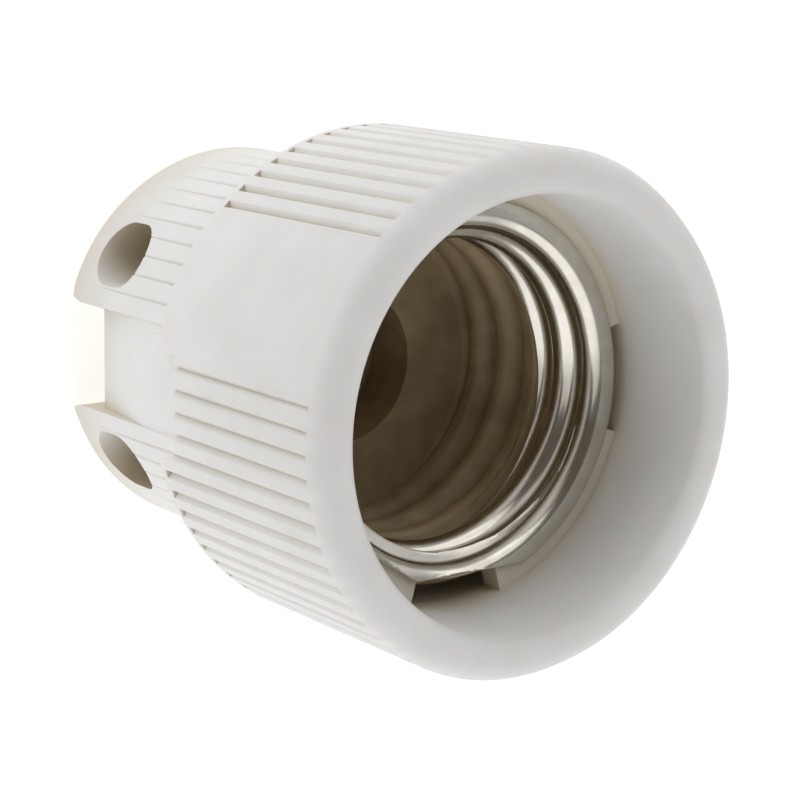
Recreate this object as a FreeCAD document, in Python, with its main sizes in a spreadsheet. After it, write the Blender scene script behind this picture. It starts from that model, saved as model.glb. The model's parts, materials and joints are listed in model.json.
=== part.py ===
"""Screw-base (E27) lampholder: a ribbed sleeve that twist-locks onto a ribbed tail with two ears.

The frame is the lampholder's own: Z runs from the ends of the ears (Z = 0) out of the lamp mouth,
and X points out of the flat between the ears. All sizes are millimetres and live in the sheet.
"""
import FreeCAD, Part
import math
import os
import re

import Sketcher

SIZES = [
    # Overall form
    ("total_height", 44.0, "ends of the ears to the crest of the lip"),
    # Sleeve
    ("sleeve_wall", 3.3, "behind the collar"),
    ("mouth_wall", 3.45, "in front of the collar"),
    ("mouth_depth", 9.9, "lip to collar"),
    ("lip_outer_round", 2.1, "outer half of the rounded lip"),
    ("lip_crest", 0.15, "flat between the two halves of the lip"),
    ("sleeve_rib_pitch", 5.025, "degrees from groove to groove"),
    ("sleeve_rib_count", 65, "grooves round the sleeve"),
    ("sleeve_rib_start", -7.9, "degrees, first groove beside the smooth panel"),
    ("sleeve_rib_depth", 0.42, "groove depth"),
    ("sleeve_rib_width", 0.75, "half width of the groove's mouth, at one depth above the ribs"),
    ("rear_edge", 0.6, "plain edge behind the grooves"),
    # Collar inside the sleeve
    ("collar_thickness", 2.0, "axial"),
    ("slot_rim", 0.6, "collar left inside each slot"),
    ("slot_sweep", 31.0, "degrees of each slot"),
    # Snap ledges in the sleeve and tabs on the carrier
    ("snap_sweep", 24.0, "degrees"),
    ("tab_thickness", 2.5, "axial"),
    ("tab_gap", 0.35, "tab to sleeve"),
    ("snap_play", 0.1, "axial, between tab and ledge"),
    ("ledge_thickness", 1.3, "axial"),
    ("ledge_width", 0.95, "radial"),
    ("rim_gap", 0.7, "carrier's rim inside the ledges"),
    ("rim_wall", 1.5, "carrier's rim round the collar's bore"),
    # Twist lock
    ("lock_gap", 0.35, "radial, sleeve round the tail piece"),
    ("lock_travel", 18.0, "degrees of twist"),
    ("tail_inset", 0.9, "front edge of the tail piece behind the ledges"),
    ("lug_shoulder", 1.3, "tail piece in front of its lugs"),
    ("lug_sweep", 12.0, "degrees of each bayonet lug"),
    ("lug_thickness", 1.8, "axial"),
    ("lug_height", 1.0, "radial"),
    ("lug_clearance", 0.35, "round each lug in its channel"),
    ("skirt", 2.5, "sleeve behind the lugs"),
    # Notch in the sleeve's rear edge and the stop rib in it
    ("notch_height", 2.7, "above the rear edge"),
    ("notch_flare", 1.25, "extra half width at the rear edge"),
    ("notch_inset", 0.2, "top of the notch inside the stop rib's outer side"),
    ("stop_width", 1.3, "width of the stop rib"),
    ("stop_inset", 0.5, "stop rib from the edge of the flat"),
    ("stop_height", 1.1, "radial, above the flat"),
    ("stop_length", 7.6, "stop rib"),
    ("stop_slant", 0.8, "by which its rear end slopes"),
    ("stop_overlap", 1.9, "stop rib in front of the sleeve's rear edge"),
    # Tail piece with the ears
    ("tail_wall", 1.6, "round the cavity"),
    ("tail_round", 1.3, "rear edge"),
    ("cavity_floor", 11.0, "inner floor of the tail piece"),
    ("tail_rib_pitch", 6.0, "degrees from groove to groove"),
    ("tail_rib_count", 60, "grooves round the tail piece"),
    ("tail_rib_depth", 0.3, "groove depth at the sleeve"),
    ("tail_rib_width", 0.7, "half width of the groove's mouth, at one depth above the ribs"),
    ("tail_rib_cover", 0.9, "groove's front end inside the sleeve"),
    ("tail_rib_length", 18.5, "length over which they fade out"),
    ("ear_gap_half", 4.4, "half the gap between the ears"),
    ("ear_length", 4.6, "depth of the gap between the ears"),
    ("ear_corner_round", 2.6, "corners of the ears beside the gap"),
    ("flat_depth", 0.7, "below the ribs"),
    ("flat_tail_depth", 1.8, "the same at the rear edge, where it slopes in"),
    ("flat_slope_top", 13.0, "height at which the slope ends"),
    ("bore_radius", 2.5, "half width of the oval cross bores through the ears' roots"),
    ("bore_stretch", 1.5, "straight part of the oval"),
    ("bore_cover", 1.2, "wall between a cross bore and the cavity, and beside the wire well"),
    ("bore_offset", 8.7, "axis of the cross bores from the middle"),
    ("entry_radius", 3.8, "cable entry between the ears"),
    ("entry_length", 2.2, "floor under the wire well"),
    ("well_end", 5.6, "wire well from the outside along X"),
    # Screw shell, drawn here at the crests of its thread
    ("thread_crest", 12.2, "radius inside the crests of the E27 thread"),
    ("thread_depth", 1.1, "radial"),
    ("shell_thickness", 0.4, "nickel-plated sheet"),
    ("shell_gap", 0.1, "round the shell"),
    ("shell_length", 5.8, "collar to the shell's rear edge"),
    ("flange_gap", 1.3, "flange inside the sleeve"),
    ("flange_thickness", 0.5, "rolled edge"),
    ("flare_lip", 0.6, "inner edge of the flange, outside the collar's bore"),
    ("flare_depth", 1.4, "axial"),
    ("flat_cut", 1.4, "depth of the flange's two locating flats"),
    ("flange_flat_turn", -33.0, "degrees from one flat to the other"),
    # Contact carrier
    ("carrier_gap", 0.4, "round and under the carrier in the tail piece"),
    ("rim_lift", 0.6, "rim above the tail piece"),
    ("bowl_floor_thickness", 1.8, "under the centre contact"),
    ("foot_wall", 2.6, "round the bowl's floor"),
    ("foot_length", 5.3, "foot between the terminals"),
    ("foot_flat", 0.9, "depth of each terminal's seat"),
    ("step_thickness", 1.7, "floor of the bowl round its middle"),
    # Contacts and terminals
    ("strip_thickness", 0.4, "contact strips"),
    ("strip_half_width", 2.0, "contact strips"),
    ("strip_clearance", 0.1, "each side of a strip in the carrier"),
    ("strip_sink", 0.5, "side contact in the carrier's flank"),
    ("hook_drop", 1.2, "side contact's hook behind the collar"),
    ("tongue_rise", 2.7, "centre contact at rest above the bowl's floor"),
    ("tongue_lift", 0.5, "its fixed end above the bowl's floor"),
    ("window_height", 1.8, "slot in the foot for its fixed end"),
    ("terminal_room", 6.7, "from a terminal's seat to the cavity's wall"),
    ("terminal_depth", 4.3, "radial"),
    ("terminal_half_width", 3.0, "half the tangential width"),
    ("terminal_lift", 1.6, "above the carrier's foot"),
    ("wire_hole_radius", 1.2, "conductor hole"),
    ("wire_hole_inset", 2.0, "conductor hole from the seat"),
    ("wire_hole_depth", 2.8, "conductor hole"),
    ("screw_lift", 1.6, "screws above the terminals' rear face"),
    ("screw_radius", 1.25, "shank"),
    ("screw_clearance", 0.05, "shank in its hole"),
    ("screw_reach", 2.1, "shank length in the terminal"),
    ("screw_head_radius", 1.6, "head"),
    ("screw_head_height", 1.3, "head"),
    ("screw_slot_width", 0.7, "driver slot"),
    ("screw_slot_depth", 0.6, "driver slot"),
]

# What follows from the sizes: a word here stands for its expression wherever it is used.
DERIVED = {
    "thread_back": "thread_crest + shell_thickness",
    "collar_bore": "thread_back + thread_depth + shell_gap",
    "rim_radius": "collar_bore + rim_wall",
    "ledge_radius": "rim_radius + rim_gap",
    "sleeve_bore": "ledge_radius + ledge_width",
    "sleeve_radius": "sleeve_bore + sleeve_wall",
    "mouth_radius": "sleeve_radius - mouth_wall",
    "lip_inner_round": "mouth_wall - lip_outer_round - lip_crest",
    "tail_radius": "sleeve_bore - lock_gap",
    "cavity_radius": "tail_radius - tail_wall",
    "carrier_radius": "cavity_radius - carrier_gap",
    "tab_radius": "sleeve_bore - tab_gap",
    "lug_reach": "tail_radius + lug_height",
    "flat_reach": "tail_radius - flat_depth",
    "stop_reach": "flat_reach + stop_height",
    "stop_far": "ear_gap_half - stop_inset",
    "stop_near": "stop_far - stop_width",
    "notch_half": "stop_far - notch_inset",
    "flange_radius": "mouth_radius - flange_gap",
    "carrier_bore": "thread_crest + shell_gap",
    "seat": "cavity_radius - terminal_room",
    "foot_radius": "seat + foot_flat",
    "bowl_floor_radius": "foot_radius - foot_wall",
    "wire_hole_offset": "seat + wire_hole_inset",
    "strip_face": "carrier_radius - strip_sink",
    "collar_top": "total_height - mouth_depth",
    "collar_bottom": "collar_top - collar_thickness",
    "flange_top": "collar_top + flange_thickness",
    "shell_tail": "collar_top - shell_length",
    "tab_bottom": "collar_bottom - tab_thickness",
    "ledge_top": "tab_bottom - snap_play",
    "ledge_bottom": "ledge_top - ledge_thickness",
    "tail_top": "ledge_bottom - tail_inset",
    "lug_top": "tail_top - lug_shoulder",
    "lug_bottom": "lug_top - lug_thickness",
    "sleeve_tail": "lug_bottom - skirt",
    "stop_top": "sleeve_tail + stop_overlap",
    "stop_bottom": "stop_top - stop_length",
    "rim_bottom": "tail_top + rim_lift",
    "bore_top": "cavity_floor - bore_cover - bore_radius",
    "bore_bottom": "bore_top - bore_stretch",
    "well_floor": "ear_length + entry_length",
    "foot_bottom": "cavity_floor + carrier_gap",
    "bowl_floor": "foot_bottom + bowl_floor_thickness",
    "shoulder": "foot_bottom + foot_length",
    "bowl_step": "shoulder + step_thickness",
    "tongue_tip": "bowl_floor + tongue_rise",
    "hook_top": "collar_bottom - hook_drop",
    "terminal_bottom": "foot_bottom + terminal_lift",
    "screw_height": "terminal_bottom + screw_lift",
}

doc = FreeCAD.newDocument("lampholder")
sheet = doc.addObject("Spreadsheet::Sheet", "Sizes")
for row, (alias, value, note) in enumerate(SIZES, start=1):
    sheet.set(f"A{row}", alias)
    sheet.set(f"B{row}", str(value))
    sheet.set(f"C{row}", note)
    sheet.setAlias(f"B{row}", alias)
doc.recompute()

FUNCTIONS = {"sin", "cos"}


def bound(text):
    """Turn an expression in the words above into one that FreeCAD can evaluate."""
    def cell(found):
        word = found.group()
        if word in DERIVED:
            return f"({bound(DERIVED[word])})"
        return word if word in FUNCTIONS else "Sizes." + word
    return re.sub(r"[a-z_]{2,}", cell, text)


def new_body(name):
    body = doc.addObject("PartDesign::Body", name)
    body.Label = name
    return body


def origin_of(body, role):
    return next(item for item in body.Origin.OriginFeatures if item.Role == role)


def sketch_on(body, role, name, lift="0", up="0", turn=0.0, tilt=0.0):
    """A sketch on one of the body's planes.

    lift moves it along the plane's normal and up along the plane's second axis. turn swings it
    round the body's Z axis, and tilt then tips it, in degrees: about its second axis on
    XY_Plane and about its first axis on the two upright planes.
    """
    sketch = body.newObject("Sketcher::SketchObject", name)
    sketch.AttachmentSupport = [(origin_of(body, role), "")]
    sketch.MapMode = "FlatFace"
    first, second, third = (FreeCAD.Vector(*axis) for axis in ((1, 0, 0), (0, 1, 0), (0, 0, 1)))
    level = role == "XY_Plane"
    swing = FreeCAD.Rotation(third if level else second, turn)
    tip = FreeCAD.Rotation(second if level else first, tilt)
    sketch.AttachmentOffset = FreeCAD.Placement(FreeCAD.Vector(), swing * tip)
    for way, text in (("z", lift), ("y", up)):
        if text != "0":
            sketch.setExpression("AttachmentOffset.Base." + way, bound(text))
    return sketch


def fix_point(sketch, shape, end, across, up):
    """Tie one point of a sketch to two expressions, measured from the sketch's origin."""
    spot = sketch.getPoint(shape, end)
    for kind, text, axis, value in (("DistanceX", across, -2, spot.x), ("DistanceY", up, -1, spot.y)):
        if text == "0":
            sketch.addConstraint(Sketcher.Constraint("PointOnObject", shape, end, axis))
            continue
        number = sketch.addConstraint(Sketcher.Constraint(kind, -1, 1, shape, end, value))
        sketch.setExpression(f"Constraints[{number}]", bound(text))


def outline(sketch, corners):
    """Draw a closed outline of straight sides through corners given as expressions."""
    count = len(corners)
    ring = [FreeCAD.Vector(10 + 5 * math.cos(2 * math.pi * k / count),
                           10 + 5 * math.sin(2 * math.pi * k / count), 0) for k in range(count)]
    sketch.addGeometry([Part.LineSegment(ring[k - 1], ring[k]) for k in range(count)])
    for k in range(count):
        sketch.addConstraint(Sketcher.Constraint("Coincident", k, 2, (k + 1) % count, 1))
        fix_point(sketch, k, 2, *corners[k])
    return sketch


def round_hole(sketch, across, up, radius):
    shape = sketch.addGeometry(Part.Circle(FreeCAD.Vector(5, 5, 0), FreeCAD.Vector(0, 0, 1), 1))
    fix_point(sketch, shape, 3, across, up)
    number = sketch.addConstraint(Sketcher.Constraint("Radius", shape, 1.0))
    sketch.setExpression(f"Constraints[{number}]", bound(radius))
    return sketch


def turned(body, kind, name, corners, sweep="360", turn=0.0):
    """Add (Revolution) or cut (Groove) a section turned about Z.

    A partial sweep is centred on the direction turn.
    """
    profile = outline(sketch_on(body, "XZ_Plane", name + "_section", turn=turn), corners)
    feature = body.newObject("PartDesign::" + kind, name)
    feature.Profile = profile
    feature.ReferenceAxis = (origin_of(body, "Z_Axis"), [""])
    feature.Midplane = sweep != "360"
    feature.Angle = 360.0
    if sweep != "360":
        feature.setExpression("Angle", bound(sweep))
    doc.recompute()
    return feature


def extruded(body, kind, name, profile, length, both_ways=False, forwards=True):
    """Pad or pocket a sketch along its normal, or against it, or by half the length each way."""
    feature = body.newObject("PartDesign::" + kind, name)
    feature.Profile = profile
    if both_ways:
        feature.SideType = "Symmetric"
    feature.Reversed = forwards == (kind == "Pocket")
    feature.setExpression("Length", bound(length))
    doc.recompute()
    return feature


def repeated(body, feature, name, count, angle="360"):
    """Copy a feature round the Z axis."""
    pattern = body.newObject("PartDesign::PolarPattern", name)
    pattern.Originals = [feature]
    pattern.Axis = (origin_of(body, "Z_Axis"), [""])
    pattern.setExpression("Occurrences", bound(count))
    pattern.setExpression("Angle", bound(angle))
    body.Tip = pattern
    doc.recompute()
    return pattern


def oval_hole(sketch, across, low, high, radius):
    """Draw an upright hole with round ends, from the heights of the centres of its two ends."""
    up, down, half = FreeCAD.Vector(9, 9, 0), FreeCAD.Vector(9, 6, 0), FreeCAD.Vector(2, 0, 0)
    ends = [Part.ArcOfCircle(Part.Circle(centre, FreeCAD.Vector(0, 0, 1), 2), start, start + math.pi)
            for centre, start in ((up, 0), (down, math.pi))]
    sketch.addGeometry([ends[0], Part.LineSegment(up - half, down - half),
                        ends[1], Part.LineSegment(down + half, up + half)])
    for k in range(4):
        sketch.addConstraint(Sketcher.Constraint("Coincident", k, 2, (k + 1) % 4, 1))
    for shape, height, side in ((0, high, "+"), (2, low, "-")):
        fix_point(sketch, shape, 3, across, height)
        fix_point(sketch, shape, 1, f"{across} {side} {radius}", height)
        level = sketch.getPoint(shape, 2).y
        number = sketch.addConstraint(Sketcher.Constraint("DistanceY", -1, 1, shape, 2, level))
        sketch.setExpression(f"Constraints[{number}]", bound(height))
    return sketch


def rib_cut(body, name, edge_radius, depth, width, level, turn, tilt=0.0):
    """The V section of one groove between two ribs, on a plane across the axis."""
    profile = sketch_on(body, "XY_Plane", name, lift=level, turn=turn, tilt=tilt)
    outer = f"{edge_radius} + {depth}"
    return outline(profile, [(f"{edge_radius} - {depth}", "0"), (outer, width),
                             (outer, f"-{width}")])


def tail_piece():
    """Rear moulding: ribbed cup with two ears, their cross bores and the cable entry."""
    body = new_body("tail_piece")
    turned(body, "Revolution", "cup", [
        ("0", "0"), ("tail_radius - tail_round", "0"),
        ("tail_radius - 0.29 * tail_round", "0.29 * tail_round"), ("tail_radius", "tail_round"),
        ("tail_radius", "tail_top"), ("cavity_radius", "tail_top"),
        ("cavity_radius", "cavity_floor"), ("0", "cavity_floor")])
    fade = math.degrees(math.atan(sheet.tail_rib_depth / sheet.tail_rib_length))
    groove = extruded(body, "Pocket", "rib_groove",
                      rib_cut(body, "rib_section", "tail_radius", "tail_rib_depth",
                              "tail_rib_width", "sleeve_tail + tail_rib_cover",
                              0.5 * sheet.tail_rib_pitch, -fade),
                      "tail_rib_length + 1", forwards=False)
    repeated(body, groove, "ribs", "tail_rib_count")

    corner = [(f"ear_gap_half + ear_corner_round * (1 - cos({angle}))",
               f"ear_corner_round * (1 - sin({angle}))") for angle in (90, 60, 30, 0)]
    side = [("ear_gap_half + ear_corner_round", "-1")] + corner + [("ear_gap_half", "ear_length")]
    mirror = [(f"-({across})", up) for across, up in reversed(side)]
    gap = outline(sketch_on(body, "YZ_Plane", "gap_section"), side + mirror)
    extruded(body, "Pocket", "ear_gap", gap, "3 * tail_radius", both_ways=True)
    face = outline(sketch_on(body, "XZ_Plane", "flat_section"), [
        ("tail_radius - flat_tail_depth", "ear_length - 1"),
        ("tail_radius - flat_tail_depth", "ear_length"),
        ("flat_reach", "flat_slope_top"), ("flat_reach", "tail_top + 1"),
        ("tail_radius + 1", "tail_top + 1"), ("tail_radius + 1", "ear_length - 1")])
    flat = extruded(body, "Pocket", "flat", face, "2 * ear_gap_half", both_ways=True)
    repeated(body, flat, "flats", "2")

    bore = oval_hole(sketch_on(body, "YZ_Plane", "bore_section"),
                     "bore_offset", "bore_bottom", "bore_top", "bore_radius")
    across = extruded(body, "Pocket", "ear_bore", bore, "3 * tail_radius", both_ways=True)
    repeated(body, across, "ear_bores", "2")
    end, side = "tail_radius - well_end", "bore_offset - bore_radius - bore_cover"
    well = outline(sketch_on(body, "XY_Plane", "well_section", lift="well_floor"), [
        (f"-({end})", f"-({side})"), (end, f"-({side})"), (end, side), (f"-({end})", side)])
    extruded(body, "Pocket", "wire_well", well, "cavity_floor - well_floor + 1")
    entry = round_hole(sketch_on(body, "XY_Plane", "entry_section"), "0", "0", "entry_radius")
    extruded(body, "Pocket", "cable_entry", entry, "well_floor + 1")

    lug = turned(body, "Revolution", "lug", [
        ("tail_radius - 0.5", "lug_bottom"), ("lug_reach", "lug_bottom"),
        ("lug_reach", "lug_top"), ("tail_radius - 0.5", "lug_top")], "lug_sweep", 90.0)
    repeated(body, lug, "lugs", "2")
    stop = outline(sketch_on(body, "YZ_Plane", "stop_section", lift="flat_reach - 0.3"), [
        ("-stop_near", "stop_bottom + stop_slant"), ("-stop_near", "stop_top"),
        ("-stop_far", "stop_top"), ("-stop_far", "stop_bottom")])
    extruded(body, "Pad", "stop_rib", stop, "stop_height + 0.3")
    return body


def sleeve():
    """Front moulding: ribbed barrel with the rounded lip, the slotted collar and the lock."""
    body = new_body("sleeve")
    lip_base = "total_height - lip_outer_round"
    outer = [(f"sleeve_radius - lip_outer_round * (1 - cos({angle}) / cos(15))",
              f"{lip_base} + lip_outer_round * sin({angle}) / cos(15)") for angle in (15, 45, 75)]
    inner = [(f"mouth_radius + lip_inner_round * (1 - cos({angle}) / cos(22.5))",
              f"total_height - lip_inner_round * (1 - sin({angle}) / cos(22.5))")
             for angle in (67.5, 22.5)]
    groove_end = outer[0][1]
    groove_start = "sleeve_tail + rear_edge"
    turned(body, "Revolution", "barrel", [
        ("sleeve_bore", groove_start), ("sleeve_radius", groove_start), outer[0],
        ("mouth_radius", groove_end), ("mouth_radius", "collar_top"), ("collar_bore", "collar_top"),
        ("collar_bore", "collar_bottom"), ("sleeve_bore", "collar_bottom")])
    groove = extruded(body, "Pocket", "rib_groove",
                      rib_cut(body, "rib_section", "sleeve_radius", "sleeve_rib_depth",
                              "sleeve_rib_width", "sleeve_tail", sheet.sleeve_rib_start),
                      "total_height - sleeve_tail")
    repeated(body, groove, "ribs", "sleeve_rib_count",
             "(sleeve_rib_count - 1) * sleeve_rib_pitch")
    turned(body, "Revolution", "lip", [("mouth_radius", groove_end)] + outer + inner)
    turned(body, "Revolution", "plain_edge", [
        ("sleeve_bore", "sleeve_tail"), ("sleeve_radius", "sleeve_tail"),
        ("sleeve_radius", groove_start), ("sleeve_bore", groove_start)])

    slot = turned(body, "Groove", "slot", [
        ("collar_bore + slot_rim", "collar_top + 0.5"), ("mouth_radius", "collar_top + 0.5"),
        ("mouth_radius", "collar_bottom - 0.5"),
        ("collar_bore + slot_rim", "collar_bottom - 0.5")], "slot_sweep", 0.0)
    repeated(body, slot, "slots", "4")

    notch = outline(sketch_on(body, "YZ_Plane", "notch_section"), [
        ("-notch_half - notch_flare", "sleeve_tail - 0.01"),
        ("notch_half + notch_flare", "sleeve_tail - 0.01"),
        ("notch_half", "sleeve_tail + notch_height"),
        ("-notch_half", "sleeve_tail + notch_height")])
    extruded(body, "Pocket", "notch", notch, "sleeve_radius + 1")

    bottom = "lug_bottom - lug_clearance"
    top = "lug_top + lug_clearance"
    reach = "lug_reach + lug_clearance"
    channel = turned(body, "Groove", "lock_channel", [
        ("sleeve_bore - 1", bottom), (reach, bottom), (reach, top), ("sleeve_bore - 1", top)],
        "lug_sweep + lock_travel + 2", 90.0 + 0.5 * sheet.lock_travel)
    repeated(body, channel, "lock_channels", "2")
    way_in = turned(body, "Groove", "lock_entry", [
        ("sleeve_bore - 1", "sleeve_tail - 1"), (reach, "sleeve_tail - 1"),
        (reach, top), ("sleeve_bore - 1", top)], "lug_sweep + 2", 90.0 + sheet.lock_travel)
    repeated(body, way_in, "lock_entries", "2")

    ledge = turned(body, "Revolution", "snap_ledge", [
        ("ledge_radius", "ledge_bottom"), ("sleeve_bore + 0.5", "ledge_bottom"),
        ("sleeve_bore + 0.5", "ledge_top"), ("ledge_radius", "ledge_top")], "snap_sweep", 45.0)
    repeated(body, ledge, "snap_ledges", "4")
    return body


def thread_shell():
    """Sheet shell of the screw with a flared flange that seats on the collar."""
    body = new_body("thread_shell")
    turned(body, "Revolution", "sheet", [
        ("thread_crest", "shell_tail"), ("thread_back", "shell_tail"),
        ("thread_back", "flange_top - flare_depth"), ("collar_bore - shell_gap", "collar_top"),
        ("flange_radius", "collar_top"), ("flange_radius", "flange_top"),
        ("collar_bore + flare_lip", "flange_top"),
        ("thread_crest", "flange_top - flare_depth")])
    for number, turn in enumerate((0.0, sheet.flange_flat_turn)):
        cut = outline(sketch_on(body, "XY_Plane", f"flat_section_{number}", lift="collar_top",
                                turn=turn), [
            ("-flange_radius", "flange_radius - flat_cut"), ("flange_radius", "flange_radius - flat_cut"),
            ("flange_radius", "2 * flange_radius"), ("-flange_radius", "2 * flange_radius")])
        extruded(body, "Pocket", f"flange_flat_{number}", cut, "flange_thickness + 1")
    return body


def contact_carrier():
    """Inner moulding: bowl behind the shell, seats of the terminals and four snap tabs."""
    body = new_body("contact_carrier")
    turned(body, "Revolution", "blank", [
        ("0", "foot_bottom"), ("foot_radius", "foot_bottom"), ("foot_radius", "shoulder"),
        ("carrier_radius", "shoulder"), ("carrier_radius", "rim_bottom"),
        ("rim_radius", "rim_bottom"), ("rim_radius", "collar_bottom"), ("0", "collar_bottom")])
    tab = turned(body, "Revolution", "snap_tab", [
        ("rim_radius - 0.5", "tab_bottom"), ("tab_radius", "tab_bottom"),
        ("tab_radius", "collar_bottom"), ("rim_radius - 0.5", "collar_bottom")], "snap_sweep", 45.0)
    repeated(body, tab, "snap_tabs", "4")
    turned(body, "Groove", "bowl", [
        ("0", "bowl_floor"), ("bowl_floor_radius", "bowl_floor"), ("bowl_floor_radius", "bowl_step"),
        ("carrier_bore", "bowl_step"), ("carrier_bore", "shell_tail - shell_gap"),
        ("collar_bore", "shell_tail - shell_gap"), ("collar_bore", "collar_bottom + 1"),
        ("0", "collar_bottom + 1")])

    for side in (0.0, 180.0):
        cut = outline(sketch_on(body, "XY_Plane", f"seat_section_{side:.0f}", lift="foot_bottom",
                                turn=side), [
            ("-foot_radius", "seat"), ("foot_radius", "seat"),
            ("foot_radius", "carrier_radius"), ("-foot_radius", "carrier_radius")])
        extruded(body, "Pocket", f"terminal_seat_{side:.0f}", cut, "foot_length")
    half = "strip_half_width + strip_clearance"
    sill = "bowl_floor + 0.05"
    window = outline(sketch_on(body, "XZ_Plane", "window_section"), [
        (f"-({half})", sill), (half, sill),
        (half, "bowl_floor + window_height"), (f"-({half})", "bowl_floor + window_height")])
    extruded(body, "Pocket", "tongue_window", window, "foot_radius + 1", forwards=False)
    inner = "strip_face - 0.02"
    path = outline(sketch_on(body, "XY_Plane", "path_section", lift="shoulder - 0.01"), [
        (f"-({half})", f"-({inner})"), (half, f"-({inner})"),
        (half, "-tab_radius"), (f"-({half})", "-tab_radius")])
    extruded(body, "Pocket", "side_strip_path", path, "hook_top + strip_clearance - shoulder")
    hook = outline(sketch_on(body, "XY_Plane", "hook_section",
                             lift="hook_top - 2 * strip_thickness - 3 * strip_clearance"), [
        (f"-({half})", "-collar_bore + 0.5"), (half, "-collar_bore + 0.5"),
        (half, "-tab_radius"), (f"-({half})", "-tab_radius")])
    extruded(body, "Pocket", "hook_window", hook, "2 * strip_thickness + 4 * strip_clearance")
    return body


def strip(name, corners):
    """A contact strip: its edge-on outline in the YZ plane, padded to the strip's width."""
    body = new_body(name)
    profile = outline(sketch_on(body, "YZ_Plane", "edge_outline"), corners)
    extruded(body, "Pad", "strip", profile, "2 * strip_half_width", both_ways=True)
    return body


def centre_contact():
    low = "bowl_floor + tongue_lift"
    return strip("centre_contact", [
        ("seat", low), ("bowl_floor_radius - 1", low), ("-0.6", "tongue_tip - strip_thickness"),
        ("-2.6", "tongue_tip - 2.5 * strip_thickness"), ("-2.6", "tongue_tip - 1.5 * strip_thickness"),
        ("-0.6", "tongue_tip"), ("bowl_floor_radius - 1", f"{low} + strip_thickness"),
        ("seat", f"{low} + strip_thickness")])


def side_contact():
    foot, outer = "-seat - 0.7", "-strip_face - strip_thickness"
    return strip("side_contact", [
        (foot, "shoulder - strip_thickness"), (outer, "shoulder - strip_thickness"),
        (outer, "hook_top"), ("-thread_back", "hook_top"), ("-thread_back", "hook_top - strip_thickness"),
        ("-strip_face", "hook_top - 2 * strip_thickness"), ("-strip_face", "shoulder"),
        (foot, "shoulder")])


def terminal(name, side, top):
    """Brass pillar terminal on one flat of the carrier's foot; side is 1 at +Y and -1 at -Y."""
    body = new_body(name)
    swing = 0.0 if side > 0 else 180.0
    block = outline(sketch_on(body, "XY_Plane", "block_section", lift="terminal_bottom", turn=swing), [
        ("-terminal_half_width", "seat"), ("terminal_half_width", "seat"),
        ("terminal_half_width", "seat + terminal_depth"),
        ("-terminal_half_width", "seat + terminal_depth")])
    extruded(body, "Pad", "block", block, f"{top} - terminal_bottom")
    wire = round_hole(sketch_on(body, "XY_Plane", "wire_section", lift="terminal_bottom", turn=swing),
                      "0", "wire_hole_offset", "wire_hole_radius")
    extruded(body, "Pocket", "wire_hole", wire, "wire_hole_depth")
    tapped = round_hole(sketch_on(body, "XZ_Plane", "screw_section", lift=f"{-side} * wire_hole_offset"),
                        "0", "screw_height", "screw_radius + screw_clearance")
    extruded(body, "Pocket", "screw_hole", tapped, "terminal_depth", forwards=side < 0)
    return body


def terminal_screws():
    """Two slotted cheese-head screws, one in each terminal, driven from outside."""
    body = doc.addObject("PartDesign::Body", "screw_model")
    head = "screw_reach + screw_head_height"
    turned(body, "Revolution", "screw", [
        ("0", "0"), ("screw_radius", "0"), ("screw_radius", "screw_reach"),
        ("screw_head_radius", "screw_reach"), ("screw_head_radius", head), ("0", head)])
    slot = outline(sketch_on(body, "XY_Plane", "slot_section", lift=head), [
        ("-screw_head_radius", "-screw_slot_width / 2"), ("screw_head_radius", "-screw_slot_width / 2"),
        ("screw_head_radius", "screw_slot_width / 2"), ("-screw_head_radius", "screw_slot_width / 2")])
    extruded(body, "Pocket", "driver_slot", slot, "screw_slot_depth", forwards=False)
    start = sheet.evalExpression(bound("seat + terminal_depth - screw_reach"))
    height = sheet.evalExpression(bound("screw_height"))
    pair = []
    for side in (1, -1):
        place = FreeCAD.Vector(0, side * start, height)
        screw = body.Shape.copy()
        screw.Placement = FreeCAD.Placement(place, FreeCAD.Rotation(FreeCAD.Vector(1, 0, 0), -90 * side))
        pair.append(screw)
    group = doc.addObject("Part::Feature", "terminal_screws")
    group.Label = "terminal_screws"
    group.Shape = Part.makeCompound(pair)
    return group


def main():
    nodes = [
        tail_piece(), sleeve(), thread_shell(), contact_carrier(), centre_contact(), side_contact(),
        terminal("live_terminal", 1, "shoulder"),
        terminal("neutral_terminal", -1, "shoulder - strip_thickness"), terminal_screws(),
    ]
    doc.recompute()
    for item in doc.Objects:
        if "Invalid" in item.State or "Error" in item.State:
            raise RuntimeError(f"{item.Label}: {item.State}")
    for node in nodes:
        if node.Shape.isNull() or not node.Shape.isValid():
            raise RuntimeError(f"{node.Label}: the shape is empty or not valid")
    os.makedirs("parts", exist_ok=True)
    for node in nodes:
        node.Shape.exportStep(f"parts/{node.Label}.step")
        box = node.Shape.BoundBox
        print(f"{node.Label:18s} solids {len(node.Shape.Solids)} volume {node.Shape.Volume:9.1f}",
              f"x {box.XMin:7.2f} {box.XMax:7.2f} y {box.YMin:7.2f} {box.YMax:7.2f}",
              f"z {box.ZMin:7.2f} {box.ZMax:7.2f}")


main()
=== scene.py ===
"""Looks of the lampholder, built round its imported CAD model."""
import json
import math

import bmesh
import bpy
from mathutils import Matrix, Quaternion, Vector

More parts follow.
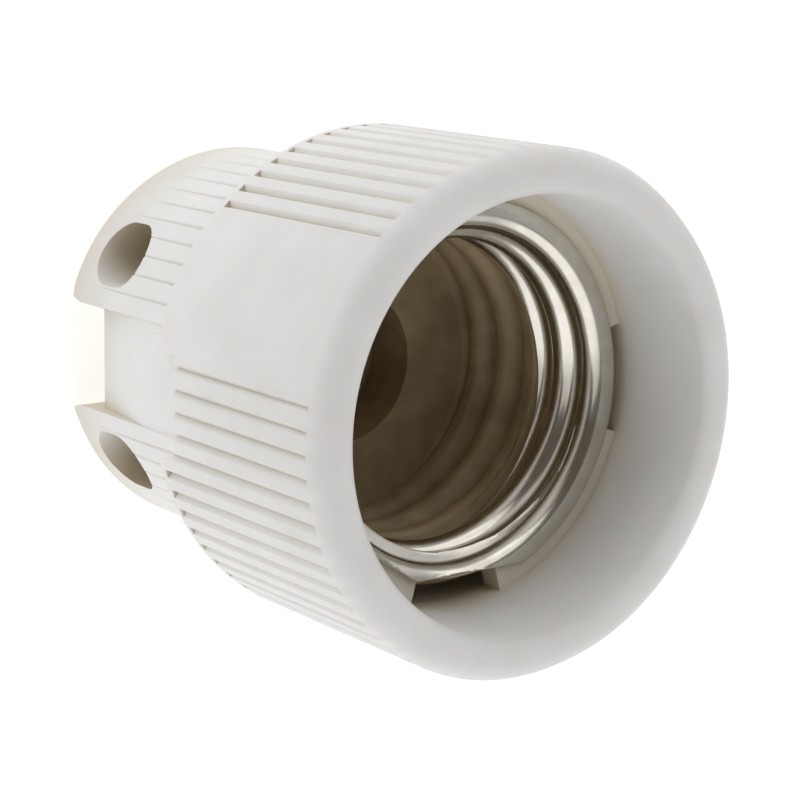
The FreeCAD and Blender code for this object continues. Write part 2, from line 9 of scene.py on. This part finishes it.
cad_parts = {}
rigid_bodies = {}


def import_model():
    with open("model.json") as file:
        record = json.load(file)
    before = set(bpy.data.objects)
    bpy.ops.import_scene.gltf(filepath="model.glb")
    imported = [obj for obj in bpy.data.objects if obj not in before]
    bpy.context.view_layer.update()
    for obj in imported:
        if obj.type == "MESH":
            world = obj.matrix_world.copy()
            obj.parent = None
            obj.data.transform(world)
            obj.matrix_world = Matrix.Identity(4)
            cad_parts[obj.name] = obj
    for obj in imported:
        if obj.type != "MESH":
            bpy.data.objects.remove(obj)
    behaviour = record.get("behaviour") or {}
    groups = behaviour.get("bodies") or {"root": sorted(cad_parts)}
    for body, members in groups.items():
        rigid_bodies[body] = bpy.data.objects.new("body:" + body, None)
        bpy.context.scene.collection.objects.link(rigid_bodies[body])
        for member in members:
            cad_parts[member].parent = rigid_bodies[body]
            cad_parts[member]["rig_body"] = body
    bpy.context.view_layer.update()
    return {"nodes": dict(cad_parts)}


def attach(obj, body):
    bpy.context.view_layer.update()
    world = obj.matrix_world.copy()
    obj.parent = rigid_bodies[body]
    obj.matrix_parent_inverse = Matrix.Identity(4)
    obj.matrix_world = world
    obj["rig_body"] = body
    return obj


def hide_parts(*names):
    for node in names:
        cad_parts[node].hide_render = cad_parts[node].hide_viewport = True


MM = 0.001
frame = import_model()
scene = bpy.context.scene

# Sizes shared with the CAD model, in millimetres
PITCH = 3.629          # of the lamp thread
CREST = 12.2           # radius over the thread's inner crests
DEPTH = 1.1            # of the thread
GROOVE_AT_X = 31.04    # height of one of the thread's grooves at +X
SHEET = 0.4            # thickness of the shell
SHELL_TAIL = 28.3      # height of the shell's lower end
COLLAR_TOP = 34.1      # height of the collar that the flange lies on
COLLAR_BORE = 13.8     # radius of the hole in that collar
FLANGE_TOP = 34.6
FLANGE_RADIUS = 15.5
FLANGE_FLAT = 14.1     # distance of the flange's flats from the axis
FLARE_FOOT = 33.35     # height at which the shell starts to open into its flange
FLARE_BEND = 1.25      # radius of that bend
FLARE_MOUTH = 14.4     # radius of the shell's mouth
BOWL_FLOOR = 18.4      # heights of the bowl in the carrier
BOWL_TOP = 28.2

# Directions of the flange's flats, in degrees from +X
FLAT_DIRECTIONS = (90.0, 57.0)

# The photo's camera and the point that the lamps aim at: millimetres and degrees
CAMERA_AT = (108.36, -35.56, 171.2)
CAMERA_AIM = (-1.7847, 2.1525, 23.8854)
CAMERA_ROLL = 106.1506
LAMP_AIM = (0, 0, 30)

# Sockets of a Mix node that mixes colours
MIX_FACTOR, MIX_FIRST, MIX_SECOND, MIX_RESULT = 0, 6, 7, 2


# ---------------------------------------------------------------- materials

def new_material(name):
    """A material, and its nodes, links and shader."""
    material = bpy.data.materials.new(name)
    material.use_nodes = True
    nodes, links = material.node_tree.nodes, material.node_tree.links
    shader = nodes["Principled BSDF"]
    return material, nodes, links, shader


def place_coordinates(nodes, links, scale=(1, 1, 1)):
    """Object coordinates in millimetres: every mesh sits in the row frame."""
    coords = nodes.new("ShaderNodeTexCoord")
    mapping = nodes.new("ShaderNodeMapping")
    mapping.inputs["Scale"].default_value = [s / MM for s in scale]
    links.new(coords.outputs["Object"], mapping.inputs["Vector"])
    return mapping.outputs["Vector"]


def noise(nodes, links, vector, scale, detail=2.0, roughness=0.5):
    """Smooth noise; a larger scale is finer."""
    node = nodes.new("ShaderNodeTexNoise")
    node.inputs["Scale"].default_value = scale
    node.inputs["Detail"].default_value = detail
    node.inputs["Roughness"].default_value = roughness
    links.new(vector, node.inputs["Vector"])
    return node.outputs["Fac"]


def remap(nodes, links, value, new_low=0.0, new_high=1.0, low=0.3, high=0.7):
    """Stretch low to high, which is the usual range of noise, over new_low to new_high."""
    node = nodes.new("ShaderNodeMapRange")
    ends = (("From Min", low), ("From Max", high), ("To Min", new_low), ("To Max", new_high))
    for key, number in ends:
        node.inputs[key].default_value = number
    links.new(value, node.inputs["Value"])
    return node.outputs["Result"]


def mixed_colour(nodes, links, factor, first, second):
    """Blend from the first colour, which may be another node's, to the second."""
    node = nodes.new("ShaderNodeMix")
    node.data_type = "RGBA"
    links.new(factor, node.inputs[MIX_FACTOR])
    if isinstance(first, tuple):
        node.inputs[MIX_FIRST].default_value = (*first, 1)
    else:
        links.new(first, node.inputs[MIX_FIRST])
    node.inputs[MIX_SECOND].default_value = (*second, 1)
    return node.outputs[MIX_RESULT]


def bump(nodes, links, height, distance, strength, under=None):
    """Relief in the shading, laid over the normals given as under."""
    node = nodes.new("ShaderNodeBump")
    node.inputs["Distance"].default_value = distance
    node.inputs["Strength"].default_value = strength
    links.new(height, node.inputs["Height"])
    if under is not None:
        links.new(under, node.inputs["Normal"])
    return node.outputs["Normal"]


def softened_edges(nodes, radius):
    """Normals that make every edge look rounded."""
    node = nodes.new("ShaderNodeBevel")
    node.samples = 6
    node.inputs["Radius"].default_value = radius
    return node.outputs["Normal"]


def white_moulding():
    """Satin white thermoplastic: soft mould edges, fine grain, faint flow marks, with painted warm shade
    in its hollows.
    """
    material, nodes, links, shader = new_material("white_moulding")
    where = place_coordinates(nodes, links)
    grain = noise(nodes, links, where, 5.5, detail=3.0, roughness=0.6)
    flow = noise(nodes, links, where, 0.22)
    white = mixed_colour(nodes, links, remap(nodes, links, flow),
                         (0.82, 0.815, 0.80), (0.86, 0.858, 0.85))
    # Painted shade: the white turns darker and warmer where ambient occlusion finds hollows, standing in
    # for the light that falls short there.
    openness = nodes.new("ShaderNodeAmbientOcclusion")
    openness.inputs["Distance"].default_value = 13 * MM
    hollow_shade = remap(nodes, links, openness.outputs["AO"], low=0.80, high=0.20)
    links.new(mixed_colour(nodes, links, hollow_shade, white, (0.66, 0.59, 0.46)), shader.inputs["Base Color"])
    links.new(remap(nodes, links, grain, 0.58, 0.68), shader.inputs["Roughness"])
    edges = softened_edges(nodes, 0.09 * MM)
    wavy = bump(nodes, links, flow, 0.2 * MM, 0.25, under=edges)
    links.new(bump(nodes, links, grain, 0.03 * MM, 0.35, under=wavy), shader.inputs["Normal"])
    shader.inputs["IOR"].default_value = 1.42
    shader.inputs["Subsurface Weight"].default_value = 0.12
    shader.inputs["Subsurface Scale"].default_value = 1.2 * MM
    return material


def nickel():
    """Bright nickel on drawn sheet: faint drawing lines round the axis and a warm tarnish."""
    material, nodes, links, shader = new_material("nickel_plate")
    round_the_axis = place_coordinates(nodes, links, scale=(0.25, 0.25, 9.0))
    lines = noise(nodes, links, round_the_axis, 1.6, detail=3.0, roughness=0.6)
    cloud = noise(nodes, links, place_coordinates(nodes, links), 0.45, detail=3.0, roughness=0.55)
    tarnish = remap(nodes, links, cloud, low=0.35)
    links.new(mixed_colour(nodes, links, tarnish, (0.72, 0.69, 0.63), (0.62, 0.58, 0.51)),
              shader.inputs["Base Color"])
    links.new(remap(nodes, links, lines, 0.16, 0.22), shader.inputs["Roughness"])
    links.new(bump(nodes, links, lines, 0.01 * MM, 0.12), shader.inputs["Normal"])
    shader.inputs["Metallic"].default_value = 1.0
    return material


def beige_moulding():
    """Matte heat-resistant moulding with a mottled grain."""
    material, nodes, links, shader = new_material("beige_moulding")
    where = place_coordinates(nodes, links)
    grain = noise(nodes, links, where, 3.2, detail=4.0, roughness=0.6)
    mottle = remap(nodes, links, noise(nodes, links, where, 0.3))
    links.new(mixed_colour(nodes, links, mottle, (0.31, 0.235, 0.13), (0.44, 0.34, 0.205)),
              shader.inputs["Base Color"])
    links.new(remap(nodes, links, grain, 0.42, 0.6), shader.inputs["Roughness"])
    edges = softened_edges(nodes, 0.15 * MM)
    links.new(bump(nodes, links, grain, 0.03 * MM, 0.35, under=edges), shader.inputs["Normal"])
    return material


def bare_metal(name, first, second, smoothest, roughest, stretch):
    """Rolled or turned metal with streaks; a smaller number in stretch is a longer streak."""
    material, nodes, links, shader = new_material(name)
    where = place_coordinates(nodes, links, scale=stretch)
    streaks = noise(nodes, links, where, 2.2, detail=3.0, roughness=0.6)
    links.new(mixed_colour(nodes, links, remap(nodes, links, streaks), first, second),
              shader.inputs["Base Color"])
    links.new(remap(nodes, links, streaks, smoothest, roughest), shader.inputs["Roughness"])
    edges = softened_edges(nodes, 0.06 * MM)
    links.new(bump(nodes, links, streaks, 0.01 * MM, 0.3, under=edges), shader.inputs["Normal"])
    shader.inputs["Metallic"].default_value = 1.0
    return material


# ---------------------------------------------------------------- meshes

def mesh_from(name, points, faces):
    """A mesh from points in millimetres."""
    mesh = bpy.data.meshes.new(name)
    mesh.from_pydata([[c * MM for c in p] for p in points], [], faces)
    mesh.validate()
    return mesh


def object_from(name, data):
    """An object in the scene that shows a mesh, lamp or camera."""
    thing = bpy.data.objects.new(name, data)
    scene.collection.objects.link(thing)
    return thing


def smooth(piece, degrees):
    """Smooth shading that keeps corners sharper than degrees."""
    imported = piece.data.attributes.get("custom_normal")
    if imported:
        piece.data.attributes.remove(imported)
    piece.data.shade_smooth()
    piece.data.set_sharp_from_angle(angle=math.radians(degrees))


def welded_copy(node, name, degrees):
    """A copy of a CAD node whose triangles share their corners, so that it shades smoothly."""
    source = frame["nodes"][node]
    copy = object_from(name, source.data.copy())
    edit = bmesh.new()
    edit.from_mesh(copy.data)
    bmesh.ops.remove_doubles(edit, verts=edit.verts, dist=0.002 * MM)
    edit.to_mesh(copy.data)
    edit.free()
    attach(copy, source["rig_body"])
    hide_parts(node)
    smooth(copy, degrees)
    return copy


def carved(piece, points, faces, degrees):
    """Cut a closed form, given in millimetres, out of a piece for good."""
    cutter = object_from("cutter", mesh_from("cutter", points, faces))
    cut = piece.modifiers.new("cut", "BOOLEAN")
    cut.operation, cut.solver, cut.object = "DIFFERENCE", "EXACT", cutter
    bpy.context.view_layer.update()
    ready = piece.evaluated_get(bpy.context.evaluated_depsgraph_get())
    piece.data = bpy.data.meshes.new_from_object(ready)
    piece.modifiers.clear()
    bpy.data.objects.remove(cutter)
    smooth(piece, degrees)


def soft_max(a, b, width):
    """The larger of two numbers, with the crossing rounded over width."""
    gap = max(0.0, width - abs(a - b)) / width
    return max(a, b) + gap * gap * width * 0.25


def flare(z):
    """Inner radius of the shell where it opens into the flange. It falls away below the flare's foot."""
    rise = z - FLARE_FOOT
    if rise <= 0:
        return FLARE_MOUTH - FLARE_BEND + 3 * rise
    return FLARE_MOUTH - math.sqrt(max(0.0, FLARE_BEND ** 2 - rise ** 2))


def thread_arcs(angle, z):
    """Radius of the lamp thread, whose section is arcs alternately crest and root."""
    arc = PITCH ** 2 / (16 * DEPTH) + DEPTH / 4
    centre = GROOVE_AT_X + PITCH * angle / (2 * math.pi)
    off = abs((z - centre + PITCH / 2) % PITCH - PITCH / 2)
    if off < PITCH / 4:
        return CREST + DEPTH - arc + math.sqrt(arc ** 2 - off ** 2)
    return CREST + arc - math.sqrt(arc ** 2 - (PITCH / 2 - off) ** 2)


def thread_radius(angle, z):
    """Inner radius of the rolled shell at an angle in radians and a height."""
    blend = 0.2
    return soft_max(thread_arcs(angle, z), flare(z), blend)


def flange_edge(angle):
    """Outer radius of the flange, with its two locating flats and their blunted corners."""
    blunt, reach = 0.12, FLANGE_RADIUS
    for direction in FLAT_DIRECTIONS:
        facing = math.cos(angle - math.radians(direction))
        if facing > 0.5:
            reach = -soft_max(-reach, -FLANGE_FLAT / facing, blunt)
    return reach


def thread_shell():
    """Rolled sheet shell: screw thread, flare and flange, as one closed skin round its section."""
    around, up, bend = 300, 64, 12
    round_off = 0.12                # of the flange's upper rim
    seat = COLLAR_TOP + 0.003       # underside of the flange
    levels = [SHELL_TAIL + (FLARE_FOOT - SHELL_TAIL) * k / up for k in range(up)]
    levels += [FLARE_FOOT + FLARE_BEND * math.sin(math.radians(90 * k / bend)) for k in range(bend + 1)]
    points, faces = [], []
    for i in range(around):
        angle = 2 * math.pi * i / around
        edge = flange_edge(angle)
        inside = [(min(thread_radius(angle, z), edge - round_off), z) for z in levels]
        face = edge - 0.1
        flange = [((inside[-1][0] + face) / 2, FLANGE_TOP), (face, FLANGE_TOP),
                  (edge - round_off / 4, FLANGE_TOP - round_off / 3), (edge, FLANGE_TOP - round_off),
                  (edge - 0.06, COLLAR_TOP + 0.07), (edge - 0.2, seat), (COLLAR_BORE + 0.15, seat)]
        outside = [(min(thread_radius(angle, z) + SHEET, COLLAR_BORE - 0.08), z)
                   for z in reversed(levels) if z < COLLAR_TOP - 0.15]
        section = inside + flange + outside
        points += [(r * math.cos(angle), r * math.sin(angle), z) for r, z in section]
    count = len(section)
    for i in range(around):
        j = (i + 1) % around
        for k in range(count):
            m = (k + 1) % count
            faces.append((i * count + m, j * count + m, j * count + k, i * count + k))
    return points, faces


def bowl_thread():
    """Closed plug with the same thread, to cut its turns into the carrier's bowl."""
    around, up = 180, 90
    low, high = BOWL_FLOOR + 0.1, BOWL_TOP - 0.05
    fade_below, fade_above = 1.2, 0.8
    points, faces = [], []
    for k in range(up + 1):
        z = low + (high - low) * k / up
        fade = min(1.0, (z - BOWL_FLOOR) / fade_below, (BOWL_TOP - z) / fade_above)
        for i in range(around):
            angle = 2 * math.pi * i / around
            r = CREST + (thread_arcs(angle, z) - CREST) * fade
            points.append((r * math.cos(angle), r * math.sin(angle), z))
    for k in range(up):
        for i in range(around):
            j = (i + 1) % around
            faces.append((k * around + i, k * around + j, (k + 1) * around + j, (k + 1) * around + i))
    faces.append(tuple(reversed(range(around))))
    faces.append(tuple(range(up * around, (up + 1) * around)))
    return points, faces


# ---------------------------------------------------------------- pieces

def dress_metal_parts():
    """Contacts, terminals and screws keep their CAD shapes."""
    brass = bare_metal("contact_brass", (0.72, 0.52, 0.25), (0.80, 0.62, 0.33), 0.25, 0.4, (4, 0.5, 4))
    bar = bare_metal("terminal_brass", (0.66, 0.48, 0.23), (0.76, 0.58, 0.30), 0.3, 0.45, (3, 3, 0.5))
    zinc = bare_metal("zinc_steel", (0.58, 0.59, 0.60), (0.68, 0.69, 0.71), 0.3, 0.45, (2, 2, 2))
    for node, material in (("centre_contact", brass), ("side_contact", brass), ("live_terminal", bar),
                           ("neutral_terminal", bar), ("terminal_screws", zinc)):
        mesh = frame["nodes"][node].data
        mesh.materials.clear()
        mesh.materials.append(material)


def dress_mouldings():
    """Smooth copies of the three mouldings, with the lamp thread cut into the carrier's bowl."""
    white, beige = white_moulding(), beige_moulding()
    for node, material, slot, degrees in (("sleeve", white, "white_moulding", 46.5),
                                          ("tail_piece", white, "white_moulding", 35),
                                          ("contact_carrier", beige, "beige_moulding", 35)):
        copy = welded_copy(node, node + "_finish", degrees)
        copy.data.materials.clear()
        copy.data.materials.append(material)
        if node == "contact_carrier":
            carved(copy, *bowl_thread(), degrees)


def roll_shell():
    """The screw shell with its true thread, in place of the plain one."""
    mesh = mesh_from("thread_shell_rolled", *thread_shell())
    mesh.materials.append(nickel())
    shell = object_from("thread_shell_rolled", mesh)
    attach(shell, "front")
    smooth(shell, 60)
    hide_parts("thread_shell")


# ---------------------------------------------------------------- stage

def stage_floor():
    """White floor that glows a little, so that it burns out like the photo's background."""
    material, nodes, links, shader = new_material("floor_white")
    soft = remap(nodes, links, noise(nodes, links, place_coordinates(nodes, links), 0.02))
    links.new(mixed_colour(nodes, links, soft, (0.59, 0.59, 0.59), (0.61, 0.61, 0.61)),
              shader.inputs["Base Color"])
    shader.inputs["Roughness"].default_value = 0.9
    shader.inputs["Emission Color"].default_value = (1, 1, 1, 1)
    shader.inputs["Emission Strength"].default_value = 0.68
    half = 3000
    corners = [(-half, -half, 0), (half, -half, 0), (half, half, 0), (-half, half, 0)]
    mesh = mesh_from("floor", corners, [(0, 1, 2, 3)])
    mesh.materials.append(material)
    object_from("floor", mesh)


def aim(thing, position, target, roll=0.0):
    """Put a lamp or camera at a position, turned to a target and rolled: millimetres and degrees."""
    place = Vector(position) * MM
    turn = (Vector(target) * MM - place).to_track_quat("-Z", "Y")
    turn = turn @ Quaternion((0, 0, 1), math.radians(roll))
    thing.matrix_world = Matrix.LocRotScale(place, turn, None)


def area_light(name, position, size, power):
    """Rectangular lamp, its place and sides in millimetres and its power in watts."""
    data = bpy.data.lights.new(name, "AREA")
    data.shape = "RECTANGLE"
    data.size, data.size_y = [side * MM for side in size]
    data.energy = power
    aim(object_from(name, data), position, LAMP_AIM)


def studio_world():
    """White tent low down and on both flanks, with a dim brown-grey gap overhead."""
    world = bpy.data.worlds.new("world")
    scene.world = world
    world.use_nodes = True
    nodes, links = world.node_tree.nodes, world.node_tree.links
    coords = nodes.new("ShaderNodeTexCoord")
    parts = nodes.new("ShaderNodeSeparateXYZ")
    links.new(coords.outputs["Generated"], parts.inputs[0])
    lit = None
    for axis, dark, bright in (("Y", 0.22, 0.42), ("Y", -0.55, -0.85), ("Z", 0.48, 0.18),
                               ("X", -0.50, -0.72)):
        panel = remap(nodes, links, parts.outputs[axis], low=dark, high=bright)
        if lit is None:
            lit = panel
            continue
        most = nodes.new("ShaderNodeMath")
        most.operation = "MAXIMUM"
        links.new(lit, most.inputs[0])
        links.new(panel, most.inputs[1])
        lit = most.outputs[0]
    colour = mixed_colour(nodes, links, lit, (0.16, 0.14, 0.115), (1.0, 1.0, 1.0))
    links.new(colour, nodes["Background"].inputs["Color"])
    nodes["Background"].inputs["Strength"].default_value = 0.71


def camera():
    """The photo's camera. Its roll is large because the holder lies on its side in the photo."""
    data = bpy.data.cameras.new("camera")
    data.lens = 103.5
    data.sensor_width = 36
    data.clip_start, data.clip_end = 0.01, 10
    eye = object_from("camera", data)
    aim(eye, CAMERA_AT, CAMERA_AIM, CAMERA_ROLL)
    scene.camera = eye


dress_metal_parts()
dress_mouldings()
roll_shell()
stage_floor()
camera()
studio_world()
area_light("key", (100, -500, 90), (350, 150), 0.3)
area_light("flank", (130, 400, 500), (1100, 700), 1.4)
area_light("back", (-240, -360, 500), (500, 400), 0.6)
scene.view_settings.view_transform = "Standard"
